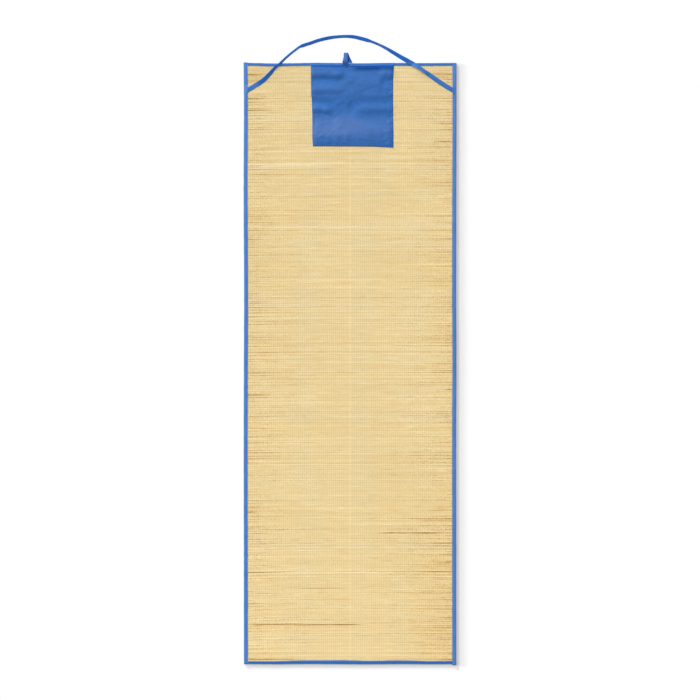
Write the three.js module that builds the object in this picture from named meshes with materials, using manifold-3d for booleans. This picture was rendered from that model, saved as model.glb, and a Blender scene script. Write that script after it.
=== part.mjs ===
// A straw beach mat, 600 x 1700 mm, lying flat: a woven straw panel with cloth tape
// folded over its four edges, a square cloth patch at its head, a thin carry strap that
// arches from edge to edge over the head, and a short hanging loop.
// Millimetres, +Z up, +X to the mat's right, +Y to its head.

import * as THREE from 'three';
import { mergeVertices } from 'three/addons/utils/BufferGeometryUtils.js';
import Module from 'manifold-3d';

// Driving dimensions
const MAT_WIDTH = 600;
const MAT_LENGTH = 1700;
const STRAW_THICKNESS = 2.6;
const GAP = 0.3;

// The tape is folded over the straw's edge in a half-round, one wall above and one below.
const TAPE_WALL = 1.0;
const TAPE_HEIGHT = STRAW_THICKNESS + TAPE_WALL;
const TAPE_RADIUS = TAPE_HEIGHT / 2;
const SIDE_TAPE_WIDTH = 10.8;
const TOP_TAPE_WIDTH = 8.2;
const LEFT_TAPE_OVERRUN = 1.2;
const RIGHT_TAPE_TAIL = 2.8;

// Inside the tape the straws are pressed to a thin rim.
const RIM_THICKNESS = 1.0;
const RIM_FLOOR = TAPE_WALL + GAP;
const RIM_INSET = 1.7;

const PATCH_THICKNESS = 1.0;
const PATCH_CELLS = { across: 30, down: 46 };
const PATCH_HEM = 9;
const PATCH_HEM_SHARE = 0.65;

const STRAP_WIDTH = 13;
const STRAP_THICKNESS = 1.0;
const STRAP_STEPS = 84;

const LOOP_THICKNESS = 1.0;
const LOOP_STEPS = 30;

const LONG_EDGE_STEPS = 48;
const SHORT_EDGE_STEPS = 30;

// How far the mat's edge stands out of a true rectangle.
// at: distance along the edge's axis from the mat's centre, out: outward drift
const LEFT_DRIFT = [
  { at: -850, out: -0.4 },
  { at: -700, out: -0.1 },
  { at: -200, out: 0.4 },
  { at: 205, out: -0.8 },
  { at: 480, out: 0.6 },
  { at: 760, out: -0.3 },
  { at: 850, out: 0.7 },
];
const RIGHT_DRIFT = [
  { at: -850, out: 0.1 },
  { at: -500, out: -0.2 },
  { at: -200, out: -0.4 },
  { at: 20, out: 0.5 },
  { at: 195, out: -0.4 },
  { at: 365, out: -0.2 },
  { at: 700, out: 0.7 },
  { at: 850, out: 0.6 },
];
const TOP_DRIFT = [
  { at: -300, out: 0.6 },
  { at: -268, out: 0 },
  { at: -212, out: -1.1 },
  { at: -155, out: -0.2 },
  { at: -99, out: 0.6 },
  { at: -42, out: 0 },
  { at: 28, out: -0.9 },
  { at: 113, out: 0.3 },
  { at: 226, out: -0.2 },
  { at: 300, out: 0.5 },
];
const BOTTOM_DRIFT = [
  { at: -300, out: -0.3 },
  { at: -212, out: 0.4 },
  { at: -127, out: -0.4 },
  { at: 56, out: 0.4 },
  { at: 127, out: -0.1 },
  { at: 226, out: 0.4 },
  { at: 300, out: 0.2 },
];

// The tape along the foot is folded unevenly.
const BOTTOM_TAPE_WIDTHS = [
  { at: -300, out: 7.6 },
  { at: -240, out: 7.7 },
  { at: -184, out: 8.9 },
  { at: -99, out: 9.8 },
  { at: -28, out: 10.8 },
  { at: 56, out: 9.2 },
  { at: 141, out: 9.4 },
  { at: 240, out: 8.7 },
  { at: 300, out: 8.6 },
];

// The patch's outline, down from the top tape.
// down: distance from the mat's top edge, left and right: where its sides lie across the mat
const PATCH_SIDES = [
  { down: 0, left: -110.3, right: 123.9 },
  { down: 45, left: -110.2, right: 121.8 },
  { down: 85, left: -109.6, right: 121.4 },
  { down: 110, left: -107.8, right: 121.6 },
  { down: 150, left: -106.7, right: 122.2 },
  { down: 205, left: -106.6, right: 122.6 },
  { down: 240, left: -104.9, right: 122.9 },
];
const PATCH_FOOT = [
  { at: -105, out: 235.8 },
  { at: 0, out: 236.6 },
  { at: 60, out: 237 },
  { at: 123, out: 239.8 },
];

// The waves of the patch's cloth, down its left part, its middle, its right part and its
// right edge. down: below the mat's top edge, high: height of the cloth
const LEFT_WAVES = [
  { down: 6, high: 1.2 },
  { down: 31, high: 2.2 },
  { down: 49, high: 0.1 },
  { down: 76, high: 2.2 },
  { down: 93, high: 0.9 },
  { down: 113, high: 0 },
  { down: 131, high: 0.5 },
  { down: 152, high: 0.1 },
  { down: 205, high: 2.2 },
  { down: 234, high: 1.2 },
];
const MIDDLE_WAVES = [
  { down: 6, high: 0.1 },
  { down: 20, high: 0.3 },
  { down: 42, high: 1.5 },
  { down: 60, high: 1.4 },
  { down: 86, high: 1.8 },
  { down: 122, high: 0.1 },
  { down: 198, high: 3.2 },
  { down: 234, high: 1.9 },
];
const RIGHT_WAVES = [
  { down: 6, high: 1.3 },
  { down: 21, high: 0.4 },
  { down: 58, high: 2 },
  { down: 72, high: 1.6 },
  { down: 88, high: 1.4 },
  { down: 112, high: 0.3 },
  { down: 130, high: 1.4 },
  { down: 149, high: 0.2 },
  { down: 200, high: 3 },
  { down: 234, high: 1.8 },
];
const EDGE_WAVES = [
  { down: 6, high: 1.9 },
  { down: 29, high: 2.6 },
  { down: 52, high: 0.2 },
  { down: 74, high: 1.3 },
  { down: 90, high: 1.2 },
  { down: 113, high: 0.2 },
  { down: 130, high: 1.5 },
  { down: 149, high: 0.2 },
  { down: 198, high: 2.4 },
  { down: 234, high: 1.5 },
];

// Where across the mat each part's waves take over from those to their left. The left waves
// reach further between the loop and the long fold.
// reach: share of the left waves' further reach that moves this place
const PATCH_PARTS = [
  { waves: MIDDLE_WAVES, from: -56, to: -30, reach: 1 },
  { waves: RIGHT_WAVES, from: 8, to: 48, reach: 0 },
  { waves: EDGE_WAVES, from: 78, to: 100, reach: 0 },
];
const LEFT_REACH = [
  { down: 14, further: 0 },
  { down: 30, further: 24 },
  { down: 96, further: 24 },
  { down: 120, further: 0 },
];

// Shorter folds in the patch's cloth.
// x: across the mat, down: below its top edge, long and broad: half sizes,
// turn: degrees from the mat's width, high: height of the fold
const PATCH_FOLDS = [
  { x: -34, down: 34, long: 22, broad: 26, turn: 0, high: 0.6 },
  { x: -112, down: 129, long: 36, broad: 18, turn: 0, high: 1.2 },
  { x: -84, down: 130, long: 34, broad: 18, turn: 3, high: 1.4 },
  { x: -62, down: 135, long: 22, broad: 16, turn: 24, high: 1.3 },
  { x: 6, down: 127, long: 14, broad: 20, turn: 0, high: -0.5 },
  { x: -10, down: 206, long: 22, broad: 13, turn: 66, high: 0.7 },
  { x: 122, down: 86, long: 10, broad: 14, turn: 70, high: 1.4 },
];

// The strap's route, from the left tape over the head and back to the right tape.
// x: across the mat, up: beyond the top edge, low: height of the ribbon's lower side,
// roll: how far its outer edge is turned up, in degrees
const STRAP_ROUTE = [
  { x: -299, up: -83.2, low: 2.9, roll: 0 },
  { x: -266, up: -63.4, low: 2.9, roll: 0 },
  { x: -245.8, up: -50.9, low: 2.9, roll: 20 },
  { x: -227.4, up: -33.2, low: 3.1, roll: 43 },
  { x: -212.4, up: -16.6, low: 4.2, roll: 58 },
  { x: -198.2, up: -5.2, low: 5.6, roll: 66 },
  { x: -185.2, up: 8.2, low: 4.8, roll: 70 },
  { x: -168.6, up: 23.4, low: 2.2, roll: 71 },
  { x: -151.9, up: 36.9, low: 0.4, roll: 72 },
  { x: -142.2, up: 43.9, low: 0, roll: 70 },
  { x: -132.4, up: 48.1, low: 0, roll: 57 },
  { x: -112.7, up: 54.4, low: 0, roll: 57 },
  { x: -89.8, up: 62.3, low: 0, roll: 55 },
  { x: -61.9, up: 69.1, low: 0, roll: 55 },
  { x: -38, up: 72.4, low: 0, roll: 62 },
  { x: -14, up: 73.8, low: 0, roll: 63 },
  { x: 9.9, up: 72.6, low: 0, roll: 53 },
  { x: 29.7, up: 68.3, low: 0, roll: 48 },
  { x: 48.7, up: 63.1, low: 0, roll: 50 },
  { x: 60.7, up: 59, low: 0, roll: 69 },
  { x: 84.7, up: 49, low: 0, roll: 70 },
  { x: 102.8, up: 39.6, low: 0.5, roll: 61 },
  { x: 120.8, up: 28.8, low: 2, roll: 49 },
  { x: 147.9, up: 12.3, low: 4.6, roll: 33 },
  { x: 170, up: 0, low: 6, roll: 6 },
  { x: 192, up: -12.4, low: 5.4, roll: -26 },
  { x: 210, up: -24.6, low: 3.9, roll: -30 },
  { x: 228, up: -36.6, low: 2.9, roll: -6 },
  { x: 264, up: -61.6, low: 2.9, roll: 0 },
  { x: 300, up: -83.2, low: 2.9, roll: 0 },
];

// The hanging loop's ribbon, from its sewn end on the patch, over the tape, out to its
// fold and back under to the tape's edge.
// x: its middle, up: beyond the top edge, high: height of its middle, wide: its width
const LOOP_ROUTE = [
  { x: -11.6, up: -12.4, high: 4.75, wide: 11.6 },
  { x: -11.8, up: -9, high: 5.2, wide: 12 },
  { x: -13, up: -4, high: 7.2, wide: 14.4 },
  { x: -13.6, up: 1.5, high: 9, wide: 16.4 },
  { x: -12.9, up: 8, high: 9.6, wide: 14 },
  { x: -12.1, up: 15, high: 9.3, wide: 12.4 },
  { x: -11.8, up: 22, high: 8.3, wide: 12 },
  { x: -11.6, up: 26.6, high: 6.9, wide: 11.8 },
  { x: -11.2, up: 28.4, high: 4.8, wide: 11.8 },
  { x: -10.2, up: 26.4, high: 2.4, wide: 12 },
  { x: -8.6, up: 21, high: 1, wide: 12.6 },
  { x: -5.4, up: 13, high: 0.6, wide: 13.6 },
  { x: -2.4, up: 6, high: 0.9, wide: 14.6 },
  { x: -0.4, up: 0.5, high: 1.8, wide: 15.2 },
];

const STRAW = { color: 0xebd29b, roughness: 0.72, metalness: 0 };
const TAPE = { color: 0x5583c4, roughness: 0.62, metalness: 0 };
const PATCH = { color: 0x4271b6, roughness: 0.58, metalness: 0 };
const STRAP = { color: 0x3a6cba, roughness: 0.55, metalness: 0 };
const LOOP = { color: 0x4a7ac6, roughness: 0.55, metalness: 0 };

// A smooth value between two rows of a table whose key column rises.
function between(table, key, column, place) {
  const last = table.length - 1;
  if (place <= table[0][key]) return table[0][column];
  if (place >= table[last][key]) return table[last][column];
  const next = table.findIndex((row) => row[key] > place);
  const before = table[next - 1];
  const after = table[next];
  const share = (place - before[key]) / (after[key] - before[key]);
  const eased = share * share * (3 - 2 * share);
  return before[column] + (after[column] - before[column]) * eased;
}

// Moves every vertex of a geometry to the place that a function gives for it.
function shaped(geometry, place) {
  const positions = geometry.attributes.position;
  for (let i = 0; i < positions.count; i += 1) {
    const moved = place(positions.getX(i), positions.getY(i), positions.getZ(i));
    positions.setXYZ(i, moved.x, moved.y, moved.z);
  }
  geometry.computeVertexNormals();
  return geometry;
}

function named(name, geometry, look) {
  const mesh = new THREE.Mesh(geometry, new THREE.MeshStandardMaterial(look));
  mesh.name = name;
  return mesh;
}

// Joining and cutting
const wasm = await Module();
wasm.setup();

function toSolid(geometry) {
  const bare = geometry.index ? geometry.toNonIndexed() : geometry.clone();
  bare.deleteAttribute('normal');
  bare.deleteAttribute('uv');
  const merged = mergeVertices(bare, 1e-4);
  return new wasm.Manifold(new wasm.Mesh({
    numProp: 3,
    vertProperties: new Float32Array(merged.attributes.position.array),
    triVerts: new Uint32Array(merged.index.array),
  }));
}

function toGeometry(solid) {
  const mesh = solid.getMesh();
  const geometry = new THREE.BufferGeometry();
  const places = new THREE.BufferAttribute(new Float32Array(mesh.vertProperties), 3);
  geometry.setAttribute('position', places);
  geometry.setIndex(new THREE.BufferAttribute(new Uint32Array(mesh.triVerts), 1));
  geometry.computeVertexNormals();
  return geometry;
}

// The mat's four edges, taken counter-clockwise. Each has a place along it, counted on the
// axis it runs along, its drift and the width of its tape there.
const EDGES = {
  bottom: {
    along: new THREE.Vector3(1, 0, 0),
    inward: new THREE.Vector3(0, 1, 0),
    reach: MAT_LENGTH / 2,
    drift: (at) => between(BOTTOM_DRIFT, 'at', 'out', at),
    tape: (at) => between(BOTTOM_TAPE_WIDTHS, 'at', 'out', at),
  },
  right: {
    along: new THREE.Vector3(0, 1, 0),
    inward: new THREE.Vector3(-1, 0, 0),
    reach: MAT_WIDTH / 2,
    drift: (at) => between(RIGHT_DRIFT, 'at', 'out', at),
    tape: () => SIDE_TAPE_WIDTH,
  },
  top: {
    along: new THREE.Vector3(-1, 0, 0),
    inward: new THREE.Vector3(0, -1, 0),
    reach: MAT_LENGTH / 2,
    drift: (at) => between(TOP_DRIFT, 'at', 'out', -at),
    tape: () => TOP_TAPE_WIDTH,
  },
  left: {
    along: new THREE.Vector3(0, -1, 0),
    inward: new THREE.Vector3(1, 0, 0),
    reach: MAT_WIDTH / 2,
    drift: (at) => between(LEFT_DRIFT, 'at', 'out', -at),
    tape: () => SIDE_TAPE_WIDTH,
  },
};

// How far from the mat's middle a line lies that runs `inset` inside an edge.
function reachOf(edge, at, inset) {
  return edge.reach + edge.drift(at) - inset;
}

function edgePoint(edge, at, inset) {
  const point = edge.along.clone().multiplyScalar(at);
  return point.addScaledVector(edge.inward, -reachOf(edge, at, inset));
}

// How far out the cloth or straw may lie that butts against an edge's tape.
function roomTo(edge, at) {
  return reachOf(edge, at, edge.tape(at) + GAP);
}

// Straw panel: a slab between the tapes, with the pressed rim that they hold.
function outline(insetOf) {
  const points = [];
  const sides = [
    { edge: EDGES.bottom, half: MAT_WIDTH / 2, steps: SHORT_EDGE_STEPS },
    { edge: EDGES.right, half: MAT_LENGTH / 2, steps: LONG_EDGE_STEPS },
    { edge: EDGES.top, half: MAT_WIDTH / 2, steps: SHORT_EDGE_STEPS },
    { edge: EDGES.left, half: MAT_LENGTH / 2, steps: LONG_EDGE_STEPS },
  ];
  sides.forEach((side, index) => {
    const before = sides[(index + 3) % 4];
    const after = sides[(index + 1) % 4];
    const start = -reachOf(before.edge, before.half, insetOf(before.edge, before.half));
    const end = reachOf(after.edge, -after.half, insetOf(after.edge, -after.half));
    for (let i = 0; i < side.steps; i += 1) {
      const at = start + (end - start) * (i / side.steps);
      const point = edgePoint(side.edge, at, insetOf(side.edge, at));
      points.push(new THREE.Vector2(point.x, point.y));
    }
  });
  return new THREE.Shape(points);
}

function strawPanel() {
  const slab = new THREE.ExtrudeGeometry(
    outline((edge, at) => edge.tape(at) + GAP),
    { depth: STRAW_THICKNESS, bevelEnabled: false },
  );
  const rim = new THREE.ExtrudeGeometry(
    outline(() => RIM_INSET),
    { depth: RIM_THICKNESS, bevelEnabled: false },
  );
  rim.translate(0, 0, RIM_FLOOR);
  return toGeometry(toSolid(slab).add(toSolid(rim)));
}

// Edge tape: a U section, swept along its edge and fitted to the edge's drift.
function tapeSection(width) {
  const section = new THREE.Shape();
  const inner = TAPE_RADIUS - TAPE_WALL;
  section.moveTo(width, 0);
  section.lineTo(width, TAPE_WALL);
  section.lineTo(TAPE_RADIUS, TAPE_WALL);
  section.absarc(TAPE_RADIUS, TAPE_RADIUS, inner, -Math.PI / 2, Math.PI / 2, true);
  section.lineTo(width, TAPE_HEIGHT - TAPE_WALL);
  section.lineTo(width, TAPE_HEIGHT);
  section.lineTo(TAPE_RADIUS, TAPE_HEIGHT);
  section.absarc(TAPE_RADIUS, TAPE_RADIUS, TAPE_RADIUS, Math.PI / 2, -Math.PI / 2, false);
  return section;
}

function edgeTape(edge, from, to, steps) {
  const nominal = SIDE_TAPE_WIDTH;
  const strip = new THREE.ExtrudeGeometry(tapeSection(nominal), {
    depth: to - from,
    steps,
    curveSegments: 2,
    bevelEnabled: false,
  });
  return shaped(strip, (across, up, run) => {
    const at = from + run;
    const share = Math.max(0, (across - TAPE_RADIUS) / (nominal - TAPE_RADIUS));
    const inset = across + share * (edge.tape(at) - nominal);
    const point = edgePoint(edge, at, inset);
    point.z = up;
    return point;
  });
}

// Patch: one cloth, held down along the tape and lower at its hems, with soft waves and
// folds between them.
function waveHeight(x, down) {
  const further = between(LEFT_REACH, 'down', 'further', down);
  return PATCH_PARTS.reduce((height, part) => {
    const place = x - further * part.reach;
    const next = between(part.waves, 'down', 'high', down);
    return THREE.MathUtils.lerp(height, next, THREE.MathUtils.smoothstep(place, part.from, part.to));
  }, between(LEFT_WAVES, 'down', 'high', down));
}

function fold(row, x, down) {
  const turn = THREE.MathUtils.degToRad(row.turn);
  const dx = x - row.x;
  const dy = down - row.down;
  const along = (dx * Math.cos(turn) + dy * Math.sin(turn)) / row.long;
  const across = (dy * Math.cos(turn) - dx * Math.sin(turn)) / row.broad;
  const far = along * along + across * across;
  return far < 1 ? row.high * (1 - far) * (1 - far) : 0;
}

function patchHeight(x, down, head) {
  const left = x - between(PATCH_SIDES, 'down', 'left', down);
  const right = between(PATCH_SIDES, 'down', 'right', down) - x;
  const foot = between(PATCH_FOOT, 'at', 'out', x) - down;
  const inside = THREE.MathUtils.smoothstep(Math.min(left, right, foot), 0, PATCH_HEM);
  const free = THREE.MathUtils.lerp(PATCH_HEM_SHARE, 1, inside);
  const held = THREE.MathUtils.smoothstep(down - head, 0, PATCH_HEM);
  const folds = PATCH_FOLDS.reduce((sum, row) => sum + fold(row, x, down), 0);
  return Math.max(0, free * held * (waveHeight(x, down) + folds));
}

function patch() {
  const cells = [PATCH_CELLS.across, PATCH_CELLS.down, 1];
  const cloth = new THREE.BoxGeometry(1, 1, PATCH_THICKNESS, ...cells);
  return shaped(cloth, (u, v, w) => {
    const share = 0.5 - v;
    const rowDown = share * PATCH_SIDES[PATCH_SIDES.length - 1].down;
    const left = between(PATCH_SIDES, 'down', 'left', rowDown);
    const right = between(PATCH_SIDES, 'down', 'right', rowDown);
    const x = left + (right - left) * (u + 0.5);
    const head = TOP_TAPE_WIDTH + GAP - EDGES.top.drift(-x);
    const down = head + (between(PATCH_FOOT, 'at', 'out', x) - head) * share;
    const z = STRAW_THICKNESS + GAP + PATCH_THICKNESS / 2 + w + patchHeight(x, down, head);
    return new THREE.Vector3(x, MAT_LENGTH / 2 - down, z);
  });
}

// Carry strap: a flat ribbon along its route, rolled on to its inner edge over the arch,
// and trimmed where the side tapes cover its sewn ends.
function strapStation(curve, share) {
  const centre = curve.getPoint(share);
  const ground = centre.y < MAT_LENGTH / 2 ? STRAW_THICKNESS + GAP : 0;
  const tangent = curve.getTangent(share);
  const index = share * (STRAP_ROUTE.length - 1);
  const row = Math.min(Math.floor(index), STRAP_ROUTE.length - 2);
  const blend = THREE.MathUtils.smoothstep(index - row, 0, 1);
  const turn = THREE.MathUtils.lerp(STRAP_ROUTE[row].roll, STRAP_ROUTE[row + 1].roll, blend);
  const roll = THREE.MathUtils.degToRad(turn);
  const level = new THREE.Vector3(-tangent.y, tangent.x, 0).normalize();
  const upright = new THREE.Vector3().crossVectors(tangent, level);
  const side = level.clone().multiplyScalar(Math.cos(roll));
  side.addScaledVector(upright, Math.sin(roll));
  const normal = new THREE.Vector3().crossVectors(tangent, side);
  const lowest = Math.abs(side.z) * STRAP_WIDTH / 2 + Math.abs(normal.z) * STRAP_THICKNESS / 2;
  centre.z = Math.max(centre.z, ground) + lowest;
  return { centre, side, normal };
}

function carryStrap() {
  const points = STRAP_ROUTE.map((row) => (
    new THREE.Vector3(row.x, MAT_LENGTH / 2 + row.up, row.low)
  ));
  const curve = new THREE.CatmullRomCurve3(points, false, 'centripetal');
  const ribbon = new THREE.BoxGeometry(1, STRAP_WIDTH, STRAP_THICKNESS, STRAP_STEPS, 1, 1);
  shaped(ribbon, (u, v, w) => {
    const station = strapStation(curve, u + 0.5);
    return station.centre.addScaledVector(station.side, v).addScaledVector(station.normal, w);
  });
  const sewnAt = MAT_LENGTH / 2 + STRAP_ROUTE[0].up;
  const left = -roomTo(EDGES.left, -sewnAt);
  const right = roomTo(EDGES.right, sewnAt);
  const room = new THREE.BoxGeometry(right - left, MAT_WIDTH, MAT_WIDTH);
  room.translate((left + right) / 2, MAT_LENGTH / 2, 0);
  return toGeometry(toSolid(ribbon).intersect(toSolid(room)));
}

// Hanging loop: a ribbon whose sections all lie level across the mat.
function hangingLoop() {
  const head = MAT_LENGTH / 2 + between(TOP_DRIFT, 'at', 'out', LOOP_ROUTE[LOOP_ROUTE.length - 1].x);
  const points = LOOP_ROUTE.map((row) => new THREE.Vector3(row.x, head + row.up, row.high));
  const curve = new THREE.CatmullRomCurve3(points, false, 'centripetal');
  const ribbon = new THREE.BoxGeometry(1, 1, LOOP_THICKNESS, 1, LOOP_STEPS, 1);
  const across = new THREE.Vector3(1, 0, 0);
  return shaped(ribbon, (u, v, w) => {
    const share = v + 0.5;
    const index = share * (LOOP_ROUTE.length - 1);
    const row = Math.min(Math.floor(index), LOOP_ROUTE.length - 2);
    const wide = THREE.MathUtils.lerp(LOOP_ROUTE[row].wide, LOOP_ROUTE[row + 1].wide, index - row);
    const tangent = curve.getTangent(share);
    const normal = new THREE.Vector3().crossVectors(across, tangent).normalize();
    const point = curve.getPoint(share);
    return point.addScaledVector(across, u * wide).addScaledVector(normal, w);
  });
}

const halfLength = MAT_LENGTH / 2;

const mat = new THREE.Group();
mat.add(named('straw_panel', strawPanel(), STRAW));
mat.add(named(
  'binding_left',
  edgeTape(EDGES.left, -halfLength - LEFT_TAPE_OVERRUN, halfLength, LONG_EDGE_STEPS),
  TAPE,
));
mat.add(named(
  'binding_right',
  edgeTape(EDGES.right, -halfLength - RIGHT_TAPE_TAIL, halfLength, LONG_EDGE_STEPS),
  TAPE,
));
mat.add(named(
  'binding_top',
  edgeTape(
    EDGES.top,
    -roomTo(EDGES.right, halfLength),
    roomTo(EDGES.left, -halfLength),
    SHORT_EDGE_STEPS,
  ),
  TAPE,
));
mat.add(named(
  'binding_bottom',
  edgeTape(
    EDGES.bottom,
    -roomTo(EDGES.left, halfLength),
    roomTo(EDGES.right, -halfLength),
    SHORT_EDGE_STEPS,
  ),
  TAPE,
));
mat.add(named('patch', patch(), PATCH));
mat.add(named('carry_strap', carryStrap(), STRAP));
mat.add(named('hanging_loop', hangingLoop(), LOOP));

// The origin lies on the floor, under the middle of the whole object.
mat.updateMatrixWorld(true);
const middle = new THREE.Box3().setFromObject(mat).getCenter(new THREE.Vector3());
mat.position.set(-middle.x, -middle.y, 0);

const part = new THREE.Group();
part.add(mat);

export default part;
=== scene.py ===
# Looks of a straw beach mat that lies flat: straws woven on fine warp threads, blue cloth
# tape folded over the four edges, a blue cloth patch, a carry strap and a hanging loop.

import math

import bpy
import numpy as np
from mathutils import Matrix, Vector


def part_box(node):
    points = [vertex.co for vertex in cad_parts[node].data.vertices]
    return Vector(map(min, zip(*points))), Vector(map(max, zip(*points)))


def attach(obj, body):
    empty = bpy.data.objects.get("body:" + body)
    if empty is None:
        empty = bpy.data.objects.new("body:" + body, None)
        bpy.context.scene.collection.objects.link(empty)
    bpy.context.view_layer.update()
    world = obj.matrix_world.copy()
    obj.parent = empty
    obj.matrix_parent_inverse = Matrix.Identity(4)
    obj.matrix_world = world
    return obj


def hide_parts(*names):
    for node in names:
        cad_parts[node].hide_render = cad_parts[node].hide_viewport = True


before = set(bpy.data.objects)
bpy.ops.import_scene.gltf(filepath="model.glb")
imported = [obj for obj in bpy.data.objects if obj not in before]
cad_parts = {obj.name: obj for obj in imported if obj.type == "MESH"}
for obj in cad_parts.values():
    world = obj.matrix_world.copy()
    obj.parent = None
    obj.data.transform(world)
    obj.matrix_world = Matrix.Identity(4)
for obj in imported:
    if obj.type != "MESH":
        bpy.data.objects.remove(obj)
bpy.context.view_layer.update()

MM = 0.001
rng = np.random.default_rng(11)

# Camera: straight above the mat, as wide as the photograph at the mat's face.
FRAME_WIDTH = 1.979
CAMERA_HEIGHT = 4.0
VIEW_CENTRE_Y = 0.7 * MM

# Floor
FLOOR_SIZE = 14.0
FLOOR_LEVEL = -0.3 * MM
FLOOR_GREYS = (0.72, 0.74)

# Light. Suns: name, strength, and elevation, azimuth and angle in degrees.
ROOM_LIGHT = 0.36
KEY_SUN = ("key", 1.6, 60, -34, 20)
RAKE_SUN = ("rake", 5.2, 12, -36, 9)
FLOOR_SUNS = [
    ("floor_key", 1.6, 60, -34, 20),
    ("floor_rake", 5.6, 12, -36, 9),
    ("floor_side", 6.6, 6.5, -80, 8),
]

# Heights that the frame gives
STRAW_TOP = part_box("straw_panel")[1].z
TAPE_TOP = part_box("binding_left")[1].z
HEAD_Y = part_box("binding_right")[1].y
TAPE_WALL = 1.0 * MM
GAP = 0.3 * MM

# Straws. They are pressed thin inside the tapes, and each is a little uneven.
STRAW_PITCH = 2.5 * MM
STRAW_HALF_WIDTH = 1.27 * MM
STRAW_HALF_HEIGHT = 1.02 * MM
PRESSED_HALF_HEIGHT = 0.5 * MM
PRESSED_REACH = 2 * MM
RIM_INSET = 2.2 * MM
SHOULDER = 0.88
STRAW_SECTION = np.array([
    (-1, 0), (-0.52, SHOULDER), (0.52, SHOULDER), (1, 0), (0.52, -SHOULDER), (-0.52, -SHOULDER),
])
STRAW_STATIONS = [-1, -0.965, -0.945, -0.88, -0.74, -0.58, -0.4, -0.2, 0]
UNEVEN_BOW = 0.05 * MM
UNEVEN_HEIGHT = 0.1
UNEVEN_WIDTH = 0.03

# Colour values of the straws, from brown at 0 to pale at 1: their mean, and how much single
# straws, groups of rows, broad fields and a drift along each straw change it.
STRAW_TONE = 0.735
SINGLE_TONE = 0.085
GROUP_TONE = 0.018
BROAD_TONE = 0.014
DRIFT_TONE = 0.05

# Brown ends of straws: depth, and how far they reach in and fade, as shares of half a straw.
END_BROWN = 0.17
END_REACH = 0.5
END_FADE = 0.3

# Duller straw at the long edges and to the foot's right, paler straw at the head's middle
EDGE_DULL = 0.07
FOOT_DULL = 0.1
HEAD_PALE = 0.055

# Warp threads. None runs along the mat's middle, and near it they hardly drift. They end
# just before the tapes.
WARP_PITCH = 5.86 * MM
WARP_DRIFT = 0.1
WARP_STEADY = 60 * MM
WARP_CLEAR = 0.9 * MM
THREAD_HALF_WIDTH = 0.42 * MM
THREAD_RISE = 0.24 * MM
THREAD_SINK = 0.1 * MM

# Edge tape. A stitch is half its length, half its width, its rise and its root.
TAPE_STEP = 2.6 * MM
SEAM_PITCH = 3.4 * MM
SEAM_SHARE = 0.76
TAPE_STITCH = np.array([1.25, 0.24, 0.2, 0.16]) * MM

# Patch. Its seam runs inside its two sides and its foot. Sizes without MM are millimetres.
PATCH_GRID = (154, 152)
PATCH_SIZE = (230, 240)
PATCH_HEM = 9.0
PATCH_SEAM_INSET = 7.0
PATCH_SEAM_PITCH = 4.5
PATCH_SEAM_WIDTH = 1.6
PATCH_CRUMPLE = 0.09
PATCH_FLOOR = STRAW_TOP + GAP
PATCH_THICKNESS = 1.0 * MM
PATCH_STITCH = np.array([1.7, 0.3, 0.28, 0.2]) * MM

# Strap and loop. The strap is pressed where it runs in under the side tapes, and its upper
# face has painted light, a stronger blue, where it is turned up by these degrees.
STRAP_WIDTH = 13.0 * MM
RIBBON_THICKNESS = 1.0 * MM
STRAP_STEP = 1.7 * MM
STRAP_TUCK = 4 * MM
STRAP_PRESSED = 0.4 * MM
STRAP_LOWERED = 0.3 * MM
STRAP_PAINTED_LIGHT_ROLL = (5, 32)
LOOP_STATIONS = 64


def smoothstep(value, low, high):
    share = np.clip((value - low) / (high - low), 0, 1)
    return share * share * (3 - 2 * share)


def plateau(value, start, top, edge, end):
    """Rises from 0 to 1 between `start` and `top`, and falls between `edge` and `end`."""
    return smoothstep(value, start, top) * (1 - smoothstep(value, edge, end))


class Table:
    """Rows with named columns. Between two rows a value runs smoothly by the first column."""

    def __init__(self, names, rows):
        self.columns = dict(zip(names.split(), np.array(rows, float).T))

    def at(self, name, place):
        keys = next(iter(self.columns.values()))
        values = self.columns[name]
        index = np.clip(np.searchsorted(keys, place, side="right") - 1, 0, len(keys) - 2)
        share = (place - keys[index]) / (keys[index + 1] - keys[index])
        return values[index] + (values[index + 1] - values[index]) * smoothstep(share, 0, 1)


# The patch's outline in millimetres, down from the mat's top edge.
PATCH_SIDES = Table("down left right", [
    (0, -110.3, 123.9), (45, -110.2, 121.8), (85, -109.6, 121.4), (110, -107.8, 121.6),
    (150, -106.7, 122.2), (205, -106.6, 122.6), (240, -104.9, 122.9),
])
PATCH_FOOT = Table("across down", [(-105, 235.8), (0, 236.6), (60, 237), (123, 239.8)])

# The waves of the patch's cloth in millimetres, down its left part, its middle, its right
# part and its right edge.
LEFT_WAVES = Table("down high", [
    (6, 1.2), (31, 2.2), (49, 0.1), (76, 2.2), (93, 0.9), (113, 0), (131, 0.5), (152, 0.1),
    (205, 2.2), (234, 1.2),
])
MIDDLE_WAVES = Table("down high", [
    (6, 0.1), (20, 0.3), (42, 1.5), (60, 1.4), (86, 1.8), (122, 0.1), (198, 3.2), (234, 1.9),
])
RIGHT_WAVES = Table("down high", [
    (6, 1.3), (21, 0.4), (58, 2), (72, 1.6), (88, 1.4), (112, 0.3), (130, 1.4), (149, 0.2),
    (200, 3), (234, 1.8),
])
EDGE_WAVES = Table("down high", [
    (6, 1.9), (29, 2.6), (52, 0.2), (74, 1.3), (90, 1.2), (113, 0.2), (130, 1.5), (149, 0.2),
    (198, 2.4), (234, 1.5),
])

# Where across the patch each part's waves take over from those to their left. The left
# waves reach further between the loop and the long fold.
PATCH_PARTS = [(MIDDLE_WAVES, -56, -30, 1), (RIGHT_WAVES, 8, 48, 0), (EDGE_WAVES, 78, 100, 0)]
LEFT_REACH = Table("down further", [(14, 0), (30, 24), (96, 24), (120, 0)])

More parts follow.
